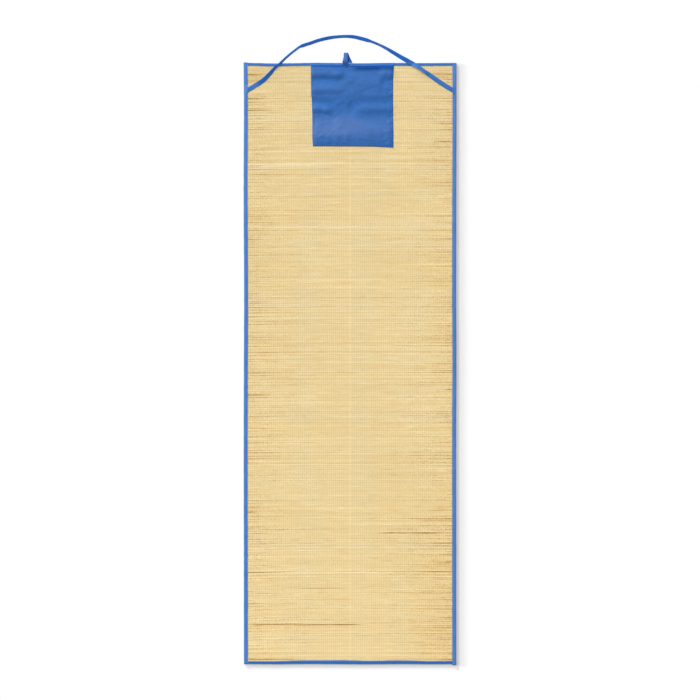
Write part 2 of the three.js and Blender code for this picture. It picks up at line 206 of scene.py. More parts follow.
# Shorter folds in the patch: place, half sizes, degrees from the mat's width, height.
PATCH_FOLDS = [
    (-34, 34, 22, 26, 0, 0.6), (-112, 129, 36, 18, 0, 1.2), (-84, 130, 34, 18, 3, 1.4),
    (-62, 135, 22, 16, 24, 1.3), (6, 127, 14, 20, 0, -0.5), (-10, 206, 22, 13, 66, 0.7),
    (122, 86, 10, 14, 70, 1.4),
]

# Fine creases in the patch, as its folds.
PATCH_CREASES = [
    (-6, 112, 10, 15, 20, 0.45), (50, 78, 36, 9, -16, -0.35), (92, 81, 26, 9, 28, -0.35),
    (66, 96, 34, 14, 0, 0.3), (4, 52, 16, 9, 10, 0.3), (-92, 166, 26, 6, 42, 0.25),
    (-72, 176, 28, 6, 38, 0.25), (-84, 208, 26, 7, -24, 0.35), (-52, 198, 24, 8, -50, 0.3),
    (-40, 222, 20, 7, 38, 0.3), (104, 196, 14, 7, 45, 0.4), (98, 216, 18, 8, -30, 0.35),
    (44, 216, 40, 8, 8, 0.3), (112, 168, 12, 8, -20, 0.4),
]

# The strap's route in millimetres: across the mat, beyond its top edge, height of its
# lower side, and how far its outer edge is turned up.
STRAP_ROUTE = Table("x up low roll", [
    (-299, -83.2, 2.9, 0), (-266, -63.4, 2.9, 0), (-245.8, -50.9, 2.9, 20),
    (-227.4, -33.2, 3.1, 43), (-212.4, -16.6, 4.2, 58), (-198.2, -5.2, 5.6, 66),
    (-185.2, 8.2, 4.8, 70), (-168.6, 23.4, 2.2, 71), (-151.9, 36.9, 0.4, 72),
    (-142.2, 43.9, 0, 70), (-132.4, 48.1, 0, 57), (-112.7, 54.4, 0, 57), (-89.8, 62.3, 0, 55),
    (-61.9, 69.1, 0, 55), (-38, 72.4, 0, 62), (-14, 73.8, 0, 63), (9.9, 72.6, 0, 53),
    (29.7, 68.3, 0, 48), (48.7, 63.1, 0, 50), (60.7, 59, 0, 69), (84.7, 49, 0, 70),
    (102.8, 39.6, 0.5, 61), (120.8, 28.8, 2, 49), (147.9, 12.3, 4.6, 33), (170, 0, 6, 6),
    (192, -12.4, 5.4, -26), (210, -24.6, 3.9, -30), (228, -36.6, 2.9, -6), (264, -61.6, 2.9, 0),
    (300, -83.2, 2.9, 0),
])

# The loop's ribbon in millimetres: its middle, beyond the top edge, height, width.
LOOP_ROUTE = Table("x up high wide", [
    (-11.6, -12.4, 4.75, 11.6), (-11.8, -9, 5.2, 12), (-13, -4, 7.2, 14.4),
    (-13.6, 1.5, 9, 16.4), (-12.9, 8, 9.6, 14), (-12.1, 15, 9.3, 12.4),
    (-11.8, 22, 8.3, 12), (-11.6, 26.6, 6.9, 11.8), (-11.2, 28.4, 4.8, 11.8),
    (-10.2, 26.4, 2.4, 12), (-8.6, 21, 1, 12.6), (-5.4, 13, 0.6, 13.6), (-2.4, 6, 0.9, 14.6),
    (-0.4, 0.5, 1.8, 15.2),
])

# How far the straws' two ends sag towards the foot, by place along the mat. Millimetres.
STRAW_SAG = Table("y left right", [
    (-880, 0, 0), (-860, 1.5, 0.4), (-790, 5, 1.4), (-640, 4.2, 1.2), (-450, 2.6, 0.4),
    (-150, 1.8, 0.6), (150, 2.4, -0.4), (390, 1.6, 0.8), (560, 2.2, 1), (740, 2.6, 0.8),
    (806, 0, 0),
])

# Single straws that stand out: place along the mat, reach across it, rows, colour value.
STREAKS = [
    (781, 224, 290, 3, -0.34), (778, -290, -244, 3, -0.34), (766, 240, 290, 2, -0.3),
    (762, -290, -256, 2, -0.25), (710, -290, -264, 3, -0.4), (679, -290, -262, 2, -0.36),
    (672, -244, -180, 1, -0.3), (671, 120, 290, 1, -0.26), (640, 236, 290, 2, -0.26),
    (622, 136, 290, 1, -0.32), (590, 262, 292, 1, -0.7), (561, 206, 290, 1, -0.3),
    (524, -290, -84, 2, 0.3), (394, -290, -37, 1, -0.3), (264, -60, 60, 1, -0.24),
    (-110, 268, 292, 1, -0.6), (-128, -292, -262, 2, -0.4), (-459, -292, -270, 1, -0.7),
    (-480, 206, 290, 2, -0.26), (-517, 84, 256, 2, -0.34), (-600, 268, 292, 1, -0.5),
    (-626, 258, 292, 1, -0.6), (-672, -170, -14, 2, -0.2), (-717, -290, -140, 1, -0.26),
    (-776, -276, 46, 1, -0.72), (-805, 6, 57, 1, -0.3), (-874, -292, -141, 2, -0.34),
    (-874, 226, 292, 2, -0.34),
]


# Meshes
def make_mesh(name, points, polygons, material, attributes=()):
    """A smooth mesh piece. Its attributes have a number or a vector for each point."""
    corners = np.concatenate([p.reshape(-1) for p in polygons]).astype(np.int32)
    sizes = np.concatenate([np.full(len(p), p.shape[1]) for p in polygons])
    mesh = bpy.data.meshes.new(name)
    mesh.vertices.add(points.size // 3)
    mesh.vertices.foreach_set("co", points.astype(np.float32).ravel())
    mesh.loops.add(len(corners))
    mesh.loops.foreach_set("vertex_index", corners)
    mesh.polygons.add(len(sizes))
    mesh.polygons.foreach_set("loop_start", (np.cumsum(sizes) - sizes).astype(np.int32))
    mesh.update(calc_edges=True)
    mesh.polygons.foreach_set("use_smooth", np.ones(len(sizes), bool))
    for label, values in dict(attributes).items():
        vector = values.size == points.size
        layer = mesh.attributes.new(label, "FLOAT_VECTOR" if vector else "FLOAT", "POINT")
        layer.data.foreach_set("vector" if vector else "value", values.astype(np.float32).ravel())
    mesh.materials.append(material)
    piece = bpy.data.objects.new(name, mesh)
    bpy.context.scene.collection.objects.link(piece)
    return piece


def set_map(piece, places):
    """Gives a piece the map that its looks are baked to."""
    layer = piece.data.uv_layers.new(name="OFBake")
    layer.data.foreach_set("uv", places.astype(np.float32).ravel())


def tube_polygons(count, rings, corners):
    """The sides and the two kinds of cap of closed tubes with the same rings and corners."""
    index = np.arange(count * rings * corners).reshape(count, rings, corners)
    after = np.roll(index, -1, 2)
    sides = np.stack([index[:, :-1], after[:, :-1], after[:, 1:], index[:, 1:]], -1)
    return sides.reshape(-1, 4), index[:, 0, ::-1], index[:, -1]


def make_tube(name, points, material, attributes):
    """A closed tube from its rings of points."""
    rings, corners = points.shape[:2]
    return make_mesh(name, points, tube_polygons(1, rings, corners), material, attributes)


def unit(vectors):
    return vectors / np.linalg.norm(vectors, axis=1)[:, None]


def dress(slot, name, *pieces):
    """Puts pieces on the body in place of one of the frame's nodes, which is hidden."""
    for piece in pieces:
        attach(piece, "root")
    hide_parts(name)


# Materials
class Looks:
    """A material and the nodes that it is made of."""

    def __init__(self, name):
        self.material = bpy.data.materials.new(name)
        self.material.use_nodes = True
        self.tree = self.material.node_tree
        self.place = self.node("TexCoord").outputs["Object"]

    def feed(self, made, inputs):
        """Links or sets a node's inputs."""
        for key, value in dict(inputs).items():
            if isinstance(value, bpy.types.NodeSocket):
                self.tree.links.new(value, made.inputs[key])
            else:
                made.inputs[key].default_value = value

    def finish(self, inputs):
        self.feed(self.tree.nodes["Principled BSDF"], inputs)
        return self.material

    def node(self, kind, inputs=(), **settings):
        made = self.tree.nodes.new("ShaderNode" + kind)
        for name, value in settings.items():
            setattr(made, name, value)
        self.feed(made, inputs)
        return made

    def calc(self, operation, a, b=0.0, c=0.0):
        return self.node("Math", {0: a, 1: b, 2: c}, operation=operation).outputs[0]

    def chain(self, operation, first, *others):
        """Several values joined by one operation."""
        for other in others:
            first = self.calc(operation, first, other)
        return first

    def attribute(self, name, output="Fac"):
        return self.node("Attribute", attribute_name=name).outputs[output]

    def noise(self, vector, scale, detail=2.0, roughness=0.5):
        """Noise of one scale, or stretched with a scale for each axis."""
        if isinstance(scale, tuple):
            stretched = self.node("Mapping", {"Vector": vector, "Scale": scale})
            vector, scale = stretched.outputs["Vector"], 1.0
        inputs = {"Vector": vector, "Scale": scale, "Detail": detail, "Roughness": roughness}
        return self.node("TexNoise", inputs).outputs["Fac"]

    def ramp(self, value, stops):
        made = self.node("ValToRGB", {"Fac": value})
        elements = made.color_ramp.elements
        while len(elements) < len(stops):
            elements.new(0.5)
        for element, (position, colour) in zip(elements, stops):
            element.position = position
            element.color = (*colour, 1)
        return made.outputs["Color"]

    def range_of(self, value, low, high, to_low, to_high):
        inputs = {"Value": value, "From Min": low, "From Max": high}
        inputs |= {"To Min": to_low, "To Max": to_high}
        return self.node("MapRange", inputs).outputs["Result"]

    def swing(self, value, spread, reach):
        """Turns a value within `spread` of 0.5 into one within `reach` of 0."""
        return self.range_of(value, 0.5 - spread, 0.5 + spread, -reach, reach)

    def mixed(self, blend, share, first, second):
        inputs = {0: share, 6: first, 7: second}
        return self.node("Mix", inputs, data_type="RGBA", blend_type=blend).outputs[2]

    def bump(self, height, distance, strength, normal=None):
        inputs = {"Height": height, "Distance": distance, "Strength": strength}
        if normal is not None:
            inputs["Normal"] = normal
        return self.node("Bump", inputs).outputs["Normal"]


def scaled(colour, factor):
    return tuple(min(1, channel * factor) for channel in colour)


# Straw's colours by its colour value, and the hues that single straws have
STRAW_COLOURS = [
    (0, (0.44, 0.23, 0.06)), (0.3, (0.68, 0.44, 0.165)), (0.55, (0.83, 0.64, 0.31)),
    (0.78, (0.88, 0.705, 0.375)), (1, (0.95, 0.81, 0.5)),
]
STRAW_HUES = [(0, (1, 0.985, 0.93)), (0.5, (1, 1, 1)), (1, (0.975, 1, 1.06))]
STREAK_TONE = 0.13
FIBRE_TONE = 0.05
# Painted shade where the warp threads nip the straws, and how sharp it is
NIP_SHADE = 0.3
NIP_SHARPNESS = 5.0


def straw_nip(m, crossing, away, seed):
    """How much painted shade a straw has where it is nipped: most where a thread passes over it,
    less where one passes under it, unevenly from straw to straw, and not at all at the mat's
    middle."""
    turned_over = m.calc("MULTIPLY", crossing, -1.0)
    under_thread, over_thread = (
        m.calc("POWER", m.calc("MAXIMUM", side, 0.0), NIP_SHARPNESS)
        for side in (crossing, turned_over)
    )
    over_share = m.range_of(away, 12, 40, 0.34, 0.1)
    nipped = m.calc("MULTIPLY_ADD", over_thread, over_share, under_thread)
    threaded = m.range_of(away, 0.3, 0.6, 0, 1)
    tight = m.range_of(m.calc("FRACT", m.calc("MULTIPLY", seed, 7.3)), 0, 1, 0.3, 1)
    fading = m.range_of(away, 20, 50, 1.0, 0.75)
    return m.chain("MULTIPLY", nipped, threaded, tight, fading)


def straw_material():
    """Dried straw: pale gold, browner where its tone says so, with long fine streaks. It has
    painted shade where the warp threads nip it, and bumps that swell between them."""
    m = Looks("straw")
    tone, seed, line, row = (m.attribute(name) for name in ("tone", "seed", "line", "row"))
    across = m.node("SeparateXYZ", {"Vector": m.place}).outputs["X"]
    own = m.node("CombineXYZ", {"X": across, "Y": seed}).outputs["Vector"]
    streak = m.noise(own, (22, 40, 1), 3.0, 0.6)
    fibre = m.noise(m.place, (60, 4200, 4200), 2.0, 0.6)
    blotch = m.swing(m.noise(own, (190, 60, 1), 1.0), 0.2, 1)
    away = m.calc("ABSOLUTE", line)
    blotched = m.calc("MULTIPLY", blotch, m.range_of(away, 10, 45, 0.04, 0.14))
    streaked = m.swing(streak, 0.2, STREAK_TONE)
    value = m.chain("ADD", tone, streaked, m.swing(fibre, 0.2, FIBRE_TONE), blotched)
    crossing = m.calc("COSINE", m.calc("MULTIPLY", m.calc("ADD", line, row), math.pi))
    nip = straw_nip(m, crossing, away, seed)
    # Painted shade: the nip darkens the straw's colour at the warp threads.
    shade = m.range_of(nip, 0, 1, 1.0, 1 - NIP_SHADE)
    grey = m.node("CombineColor", {0: shade, 1: shade, 2: shade}).outputs[0]
    colour = m.ramp(value, STRAW_COLOURS)
    tinted = m.mixed("MULTIPLY", 1.0, colour, m.ramp(seed, STRAW_HUES))
    swell = m.bump(m.calc("MULTIPLY", crossing, -0.5), 0.3 * MM, 0.6)
    return m.finish({
        "Base Color": m.mixed("MULTIPLY", 1.0, tinted, grey),
        "Roughness": m.range_of(streak, 0.3, 0.7, 0.5, 0.68),
        "Normal": m.bump(fibre, 0.2 * MM, 0.5, swell),
        "Specular IOR Level": 0.35,
    })


def thread_material(name, colour, variation, roughness):
    """Fine spun thread, a little uneven in colour along the mat."""
    m = Looks(name)
    uneven = m.noise(m.place, 90.0, 3.0, 0.6)
    stops = [(0.3, scaled(colour, 1 - variation)), (0.7, scaled(colour, 1 + variation))]
    return m.finish({
        "Base Color": m.ramp(uneven, stops),
        "Normal": m.bump(m.noise(m.place, 2600.0, 2.0, 0.6), 0.1 * MM, 0.4),
        "Roughness": roughness,
        "Specular IOR Level": 0.25,
    })


# Cloth: pitch of the weave, depth of its bumps, and gloss
TAPE_WEAVE = (0.9 * MM, 0.08 * MM, 0.6)
PATCH_WEAVE = (0.8 * MM, 0.08 * MM, 0.6)
RIBBON_WEAVE = (1.2 * MM, 0.12 * MM, 0.3)
CLOTH_WORN = 0.24
# Painted shade: the tint and loss of gloss where the attribute `shade` is 1
SHADE_TINT = (0.2, 0.48, 0.66)
SHADE_GLOSS = 0.3
SPECULAR_TINT = (0.58, 0.8, 1.0, 1.0)
WHITE = (1, 1, 1)

# Colours of cloth and thread. A tape can have another one at its fold: painted light, a
# paler blue where the fold is turned from the light.
PATCH_DEEP_BLUE = (0.004, 0.102, 0.388)
# Painted sheen on the patch's ridges and lower middle
PATCH_PAINTED_SHEEN_BLUE = (0.056, 0.14, 0.402)
LEFT_TAPE_BLUE = (0.062, 0.184, 0.495)
RIGHT_TAPE_BLUE = (0.056, 0.178, 0.5)
RIGHT_FOLD_PAINTED_LIGHT_BLUE = (0.064, 0.205, 0.63)
HEAD_TAPE_BLUE = (0.036, 0.146, 0.455)
FOOT_TAPE_BLUE = (0.03, 0.148, 0.455)
FOOT_FOLD_PAINTED_LIGHT_BLUE = (0.06, 0.2, 0.58)
STRAP_BLUE = (0.034, 0.15, 0.46)
# Painted light on the strap's turned-up upper face
STRAP_PAINTED_LIGHT_BLUE = (0.018, 0.18, 0.74)
LOOP_BLUE = (0.05, 0.128, 0.385)
# Painted shade on the loop's back leg and pinched end
LOOP_PAINTED_SHADE_BLUE = (0.004, 0.068, 0.34)
SEAM_BLUE = (0.03, 0.1, 0.33)
WARP_TAN = (0.64, 0.48, 0.25)


def cloth_material(name, weave, colour, other=None, shaded=False):
    """Plain-woven cloth. Its yarns follow the attribute `weave`, metres along and across.
    The attribute `change` mixes in its other colour, which is painted light, sheen or shade,
    and `shade` is painted shade, which makes the cloth darker and duller."""
    pitch, depth, gloss = weave
    m = Looks(name)
    yarns = m.attribute("weave", "Vector")
    split = m.node("SeparateXYZ", {"Vector": yarns})
    turn = 2 * math.pi / pitch
    warp, weft = (
        m.calc("SINE", m.calc("MULTIPLY", split.outputs[axis], turn)) for axis in "XY"
    )
    crossing = m.calc("MULTIPLY_ADD", m.calc("MULTIPLY", warp, weft), 0.5, 0.5)
    slub = m.noise(yarns, (260, 2200, 1), 2.0, 0.6)
    fade = m.noise(m.place, 26.0, 4.0, 0.6)
    mottle = m.noise(m.place, 240.0, 3.0, 0.6)
    parts = [(fade, 0.25, 1.0), (mottle, 0.25, 0.6), (slub, 0.25, 0.5), (crossing, 0.5, 0.5)]
    reach = sum(part[-1] for part in parts)
    level = m.chain("ADD", *[m.swing(*part) for part in parts])
    level = m.range_of(level, -reach, reach, 0, 1)
    bases = [
        m.ramp(level, [(0, scaled(tint, 1 - CLOTH_WORN)), (1, scaled(tint, 1 + CLOTH_WORN))])
        for tint in (colour, other)
        if tint
    ]
    base = m.mixed("MIX", m.attribute("change"), *bases) if other else bases[0]
    if shaded:
        # Painted shade darkens and dulls the cloth.
        shade = m.attribute("shade")
        tint = m.ramp(shade, [(0, WHITE), (1, SHADE_TINT)])
        base = m.mixed("MULTIPLY", 1.0, base, tint)
        gloss = m.range_of(shade, 0, 1, gloss, gloss * SHADE_GLOSS)
    return m.finish({
        "Base Color": base,
        "Normal": m.bump(crossing, depth, 0.7, m.bump(mottle, 0.25 * MM, 0.35)),
        "Roughness": 0.5,
        "Specular IOR Level": gloss,
        "Specular Tint": SPECULAR_TINT,
        "Sheen Weight": 0.03,
        "Sheen Roughness": 0.5,
    })


# Camera, floor and light
def make_camera():
    data = bpy.data.cameras.new("camera")
    data.lens = data.sensor_width * CAMERA_HEIGHT / FRAME_WIDTH
    camera = bpy.data.objects.new("camera", data)
    camera.location = (0, VIEW_CENTRE_Y, CAMERA_HEIGHT + STRAW_TOP)
    bpy.context.scene.collection.objects.link(camera)
    bpy.context.scene.camera = camera


def make_floor():
    m = Looks("floor_paint")
    cloudy = m.noise(m.place, 1.5, 2.0)
    dark, light = ((grey, grey, grey) for grey in FLOOR_GREYS)
    material = m.finish({
        "Base Color": m.ramp(cloudy, [(0.2, dark), (0.8, light)]),
        "Roughness": 0.9,
        "Specular IOR Level": 0.1,
    })
    corners = np.array([(-1, -1), (1, -1), (1, 1), (-1, 1)]) * FLOOR_SIZE / 2
    points = np.column_stack([corners, np.full(4, FLOOR_LEVEL)])
    floor = make_mesh("floor", points, [np.array([[0, 1, 2, 3]])], material)
    return floor


def make_sun(name, strength, elevation, azimuth, angle):
    """A soft sun. Azimuth is where the light comes from, counted from +Y towards +X."""
    data = bpy.data.lights.new(name, "SUN")
    data.energy = strength
    data.angle = math.radians(angle)
    lamp = bpy.data.objects.new(name, data)
    tilt = math.radians(90 - elevation)
    lamp.rotation_euler = (-tilt, 0, -math.radians(azimuth))
    bpy.context.scene.collection.objects.link(lamp)
    return lamp


def linked(name, pieces, state):
    """A light-linking collection that takes in or leaves out some pieces."""
    collection = bpy.data.collections.new(name)
    for piece in pieces:
        collection.objects.link(piece)
    for entry in collection.collection_objects:
        entry.light_linking.link_state = state
    return collection


def make_light(floor, straw_pieces, thin_pieces):
    """A pale room and soft suns. As in the photograph, only the straws shade the low sun on
    the mat, and the floor's own suns let only the mat shade it. The low sun isn't seen in
    reflections, where it would make the cloth glare from the side."""
    world = bpy.data.worlds.new("studio")
    bpy.context.scene.world = world
    world.use_nodes = True
    inputs = world.node_tree.nodes["Background"].inputs
    inputs["Color"].default_value = (1, 1, 1, 1)
    inputs["Strength"].default_value = ROOM_LIGHT
    world.cycles_visibility.glossy = False
    off_floor = linked("off_floor", [floor], "EXCLUDE")
    on_floor = linked("on_floor", [floor], "INCLUDE")
    straws_only = linked("straws_only", straw_pieces, "INCLUDE")
    mat_only = linked("mat_only", thin_pieces, "EXCLUDE")
    suns = [(KEY_SUN, off_floor, None), (RAKE_SUN, off_floor, straws_only)]
    suns += [(settings, on_floor, mat_only) for settings in FLOOR_SUNS]
    for settings, receivers, blockers in suns:
        sun = make_sun(*settings)
        sun.light_linking.receiver_collection = receivers
        sun.light_linking.blocker_collection = blockers
        sun.visible_glossy = settings is not RAKE_SUN
    bpy.context.scene.view_settings.view_transform = "Standard"


# The four tapes, read from the frame
class TapeLine:
    """The outer and inner edge of a tape, by place along it."""

    def __init__(self, name, along, outward, past_fold, past_inner, lifts=()):
        points = np.array([v.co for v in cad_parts[name].data.vertices])
        stations = np.unique(points[:, along].round(5))
        across = [
            points[np.abs(points[:, along] - s) < 2e-5][:, 1 - along] * outward
            for s in stations
        ]
        self.name = name
        self.along = along
        self.outward = outward
        self.past_fold = past_fold
        self.past_inner = past_inner
        self.lifts = lifts
        self.stations = stations
        self.outers = np.array([a.max() for a in across]) * outward
        self.inners = np.array([a.min() for a in across]) * outward

    def outer(self, place):
        return np.interp(place, self.stations, self.outers)

    def inner(self, place):
        return np.interp(place, self.stations, self.inners)

    def point(self, side, run, height):
        return np.stack([side, run, height] if self.along else [run, side, height], -1)


# Each tape: its node, whether it runs along the mat, its outward side, how far its cloth
# reaches past its solid at its fold and at its inner edge, and where other cloth that runs in
# under it lifts it: place along it, half length and height. Millimetres.
STRAP_ENDS = HEAD_Y / MM - np.array([76, 77])
LEFT = TapeLine("binding_left", 1, -1, 0.5, 0.15, [(STRAP_ENDS[0], 9, 0.9)])
RIGHT = TapeLine("binding_right", 1, 1, 0, 0.1, [(STRAP_ENDS[1], 9, 0.9)])
FOOT = TapeLine("binding_bottom", 0, -1, 0, 0.5)
HEAD = TapeLine("binding_top", 0, 1, -0.3, 0.9, [(-67, 43, 1.4), (64, 58, 1.5)])
LIFT_SLOPE = 4


def free_of_sides(x, y):
    return np.minimum(x - LEFT.inner(y), RIGHT.inner(y) - x)


def free_of_tape(x, y):
    """How far inside the tapes' inner edges a point lies."""
    ends = np.minimum(y - FOOT.inner(x), HEAD.inner(x) - y)
    return np.minimum(free_of_sides(x, y), ends)


# Straws
def sag(x, y):
    """The bow of a row of straws: its ends lie nearer to the foot than its middle."""
    reach = np.abs(x) / RIGHT.outers.mean()
    left = STRAW_SAG.at("left", y / MM)
    right = STRAW_SAG.at("right", y / MM)
    return -np.where(x < 0, left, right) * reach**2.2 * MM


def smoothed(values, width, axis=0):
    """Random values run together over about `width` rows, kept at their old spread."""
    half = int(width * 2)
    kernel = np.exp(-0.5 * (np.arange(-half, half + 1) / (width / 2)) ** 2)
    kernel /= np.sqrt((kernel**2).sum())
    return np.apply_along_axis(lambda v: np.convolve(v, kernel, "same"), axis, values)


def wander(shape, width, amount):
    """Random values, run together along a line or down a grid."""
    return smoothed(rng.normal(size=shape), width) * amount


def field(shape, rows, columns, amount):
    """Random values of a grid, run together down and across it."""
    return smoothed(smoothed(rng.normal(size=shape), rows), columns, 1) * amount


def straw_tones(x, y):
    """Each straw's colour value at its stations. Straws differ more at the long edges."""
    count, stations = x.shape
    side = np.sign(np.linspace(-1, 1, stations))
    reach = np.abs(x) / x.max()
    own = rng.normal(size=(count, 1))
    single = own - 0.45 * (np.roll(own, 1, 0) + np.roll(own, -1, 0))
    single = single * SINGLE_TONE * (0.98 + 0.42 * reach**2)
    group = wander(x.shape, 3, GROUP_TONE)
    broad = field(x.shape, 14, 3, BROAD_TONE)
    drift = smoothed(rng.normal(size=x.shape), 2.5, 1) * DRIFT_TONE
    tone = STRAW_TONE + (single + group + drift) * (0.85 + 0.45 * reach**3) + broad
    for end in (-1, 1):
        start = 1 - rng.random((count, 1)) ** 1.6 * END_REACH
        depth = rng.random((count, 1)) ** 3.2 * END_BROWN
        outside = np.where(side == end, reach, 0)
        tone -= depth * smoothstep(outside, start, start + END_FADE)
    for place, start, end, rows, change in STREAKS:
        near = np.abs(y / MM - place) / (rows * STRAW_PITCH / MM / 2) < 1
        tone += near * plateau(x / MM, start - 8, start + 2, end - 2, end + 8) * change
    dull = smoothstep(x, 60 * MM, 260 * MM) * smoothstep(-y, 100 * MM, 700 * MM)
    pale = smoothstep(y, -500 * MM, 300 * MM) * (1 - reach**2)
    return tone - EDGE_DULL * reach**3 - FOOT_DULL * dull + HEAD_PALE * pale


def warp_count(x):
    """The number of the warp thread at a point, which drifts a little along the mat."""
    drift = field(x.shape, 90, 4, WARP_DRIFT)
    return x / WARP_PITCH + drift * np.minimum(np.abs(x) / WARP_STEADY, 1)


def straw_map(piece, count, rings, corners):
    """Lays the straws side by side on the map: their tops in four columns of strips, their
    undersides in two, and the caps in the columns' margins."""
    top_columns, under_columns = 4, 2
    column = 1 / (top_columns + under_columns)
    margin = 3 / 1024
    order = np.arange(count)
    quads = np.zeros((count, rings - 1, corners, 4, 2))
    caps = np.zeros((2, count, corners, 2))
    half = corners // 2
    for under, first, columns in ((0, 0, top_columns), (1, top_columns, under_columns)):
        per = math.ceil(count / columns)
        left = (first + order // per) * column
        low = (order % per) / per
        run = np.linspace(left + margin, left + column - margin, rings, axis=1)
        strips = quads[:, :, under * half : (under + 1) * half]
        before, after = run[:, :-1], run[:, 1:]
        up = low[:, None, None] + (np.arange(half)[:, None] + [0, 1, 1, 0]) / half / per
        strips[..., 0] = np.stack([before, before, after, after], -1)[:, :, None]
        strips[..., 1] = up[:, None]
        if under:
            continue
        turn = np.arange(corners) * 2 * math.pi / corners
        spot = np.stack([np.cos(turn) * margin / 4, np.sin(turn) / per / 3], -1)
        for end, at in enumerate((left + margin / 3, left + column - margin / 3)):
            caps[end] = np.stack([at, low + 0.5 / per], -1)[:, None] + spot
    set_map(piece, np.concatenate([quads.reshape(-1, 2), caps.reshape(-1, 2)]))


def make_straws():
    """The straws, side by side across the mat, pressed thin where the tapes hold them."""
    foot = FOOT.outers.max() + RIM_INSET
    head = HEAD.outers.min() - RIM_INSET
    count = int((head - foot) / STRAW_PITCH)
    rows = foot + (np.arange(count) + 0.5) * (head - foot) / count
    half = np.array(STRAW_STATIONS)
    share = np.concatenate([half, -half[-2::-1]])
    left = LEFT.outer(rows)[:, None] + RIM_INSET
    right = RIGHT.outer(rows)[:, None] - RIM_INSET
    x = (left + right) / 2 + (right - left) / 2 * share
    y = rows[:, None] + sag(x, rows[:, None] + 0 * x)
    y += wander(x.shape, 5, UNEVEN_BOW)
    free = smoothstep(free_of_tape(x, y), 0, PRESSED_REACH)
    high = PRESSED_HALF_HEIGHT + (STRAW_HALF_HEIGHT - PRESSED_HALF_HEIGHT) * free
    high *= 1 - UNEVEN_HEIGHT * rng.random((count, 1))
    middle = TAPE_TOP / 2 + (STRAW_TOP / 2 - TAPE_TOP / 2) * free
    wide = STRAW_HALF_WIDTH * (1 + UNEVEN_WIDTH * rng.normal(size=x.shape))
    corners = len(STRAW_SECTION)
    points = np.zeros((*x.shape, corners, 3))
    points[..., 0] = x[..., None]
    points[..., 1] = y[..., None] + wide[..., None] * STRAW_SECTION[:, 0]
    points[..., 2] = middle[..., None] + high[..., None] * STRAW_SECTION[:, 1]
    values = {
        "tone": straw_tones(x, y),
        "seed": rng.random((count, 1)) + 0 * x,
        "row": np.arange(count)[:, None] + 0 * x,
        "line": warp_count(x),
    }
    polygons = tube_polygons(count, x.shape[1], corners)
    attributes = {label: np.repeat(value, corners) for label, value in values.items()}
    piece = make_mesh("straw_weave", points, polygons, straw_material(), attributes)
    straw_map(piece, count, x.shape[1], corners)
    return piece, x, y, middle, high, values["line"]


# Stitches of thread
def spindles(name, material, centre, along, across, rise, sink):
    """Short stitches, each a closed spindle of six faces that is pointed at both ends."""
    up = np.array([0, 0, 1.0])
    top = centre + up * np.reshape(rise, (-1, 1))
    lower = up * np.reshape(sink, (-1, 1))
    ends = (centre - along - lower, centre + along - lower)
    points = np.stack([*ends, centre - across, centre + across, top], 1)
    pattern = np.array([[0, 4, 2], [0, 3, 4], [0, 2, 3], [1, 2, 4], [1, 4, 3], [1, 3, 2]])
    faces = np.arange(len(centre))[:, None, None] * points.shape[1] + pattern
    piece = make_mesh(name, points, [faces.reshape(-1, 3)], material)
    spindle_map(piece, len(centre))
    return piece


def spindle_map(piece, count):
    """Gives each stitch a cell of the map: its upper faces in the middle, and the two
    faces that it lies on in the corners."""
    cells = math.ceil(math.sqrt(count))
    back, front, left, right, peak = (0.5, 0.04), (0.5, 0.96), (0.1, 0.5), (0.9, 0.5), (0.5, 0.5)
    corner = np.array([(0.04, 0.04), (0.3, 0.04), (0.04, 0.3)])
    shape = [[back, peak, left], [back, right, peak], corner]
    shape += [[front, left, peak], [front, peak, right], 1 - corner]
    order = np.arange(count)
    cell = np.stack([order % cells, order // cells], -1)[:, None, None]
    set_map(piece, (cell + np.array(shape)) / cells)


def make_warp(x, y, middle, high, line):
    """The warp threads: each passes over one straw and under the next."""
    last = int(np.abs(line).max())
    lines = np.array([n for n in range(-last, last + 1) if n])
    at_x = np.array([np.interp(lines, *row) for row in zip(line, x)])
    at_y, at_z, thick = (
        np.array([np.interp(*row) for row in zip(at_x, x, values)])
        for values in (y, middle, high)
    )
    rows = np.arange(len(x))[:, None]
    shown = free_of_tape(at_x, at_y) > WARP_CLEAR
    over = (rows + lines) % 2 == 0
    upper_half = rows >= len(x) // 2
    material = thread_material("warp_thread", WARP_TAN, 0.1, 0.75)
    across = np.array([THREAD_HALF_WIDTH, 0, 0])
    pieces = []
    for face, side, crossed in (("face", 1, over), ("back", -1, ~over)):
        along = np.array([0, STRAW_PITCH * 0.52, 0]) * side
        rise = side * (THREAD_SINK + THREAD_RISE)
        for part, chosen in (("head", upper_half), ("foot", ~upper_half)):
            mask = shown & chosen & crossed
            centre = np.stack([at_x[mask], at_y[mask], at_z[mask]], -1)
            centre[:, 2] += side * (thick[mask] * SHOULDER - THREAD_SINK)
            root = side * thick[mask] * 0.7
            name = f"warp_{face}_{part}"
            pieces.append(spindles(name, material, centre, along, across, rise, root))
    return pieces


# Edge tapes
TAPE_RADIUS = TAPE_TOP / 2
CAVITY_RADIUS = TAPE_RADIUS - TAPE_WALL

# The upper face of a tape from its inner edge to its fold: share of the flat wall, height in
# millimetres over the tape's top, and how much the puckers move it.
TAPE_FACE = [
    (1.0, -0.22, 0.2), (0.93, -0.02, 0.5), (0.85, -0.1, 0.4), (SEAM_SHARE, -0.34, 0.1),
    (0.66, -0.08, 0.6), (0.45, 0.02, 1.0), (0.2, 0.0, 0.9), (0.0, -0.02, 0.4),
]
WALL_SHARES = (0.0, 0.5, 1.0)


def fold_arc(radius, angles):
    """Points round the fold, as rows of a tape's section."""
    return [
        (TAPE_RADIUS - radius * math.cos(turn), 0, TAPE_RADIUS + radius * math.sin(turn), 0)
        for turn in np.radians(angles)
    ]


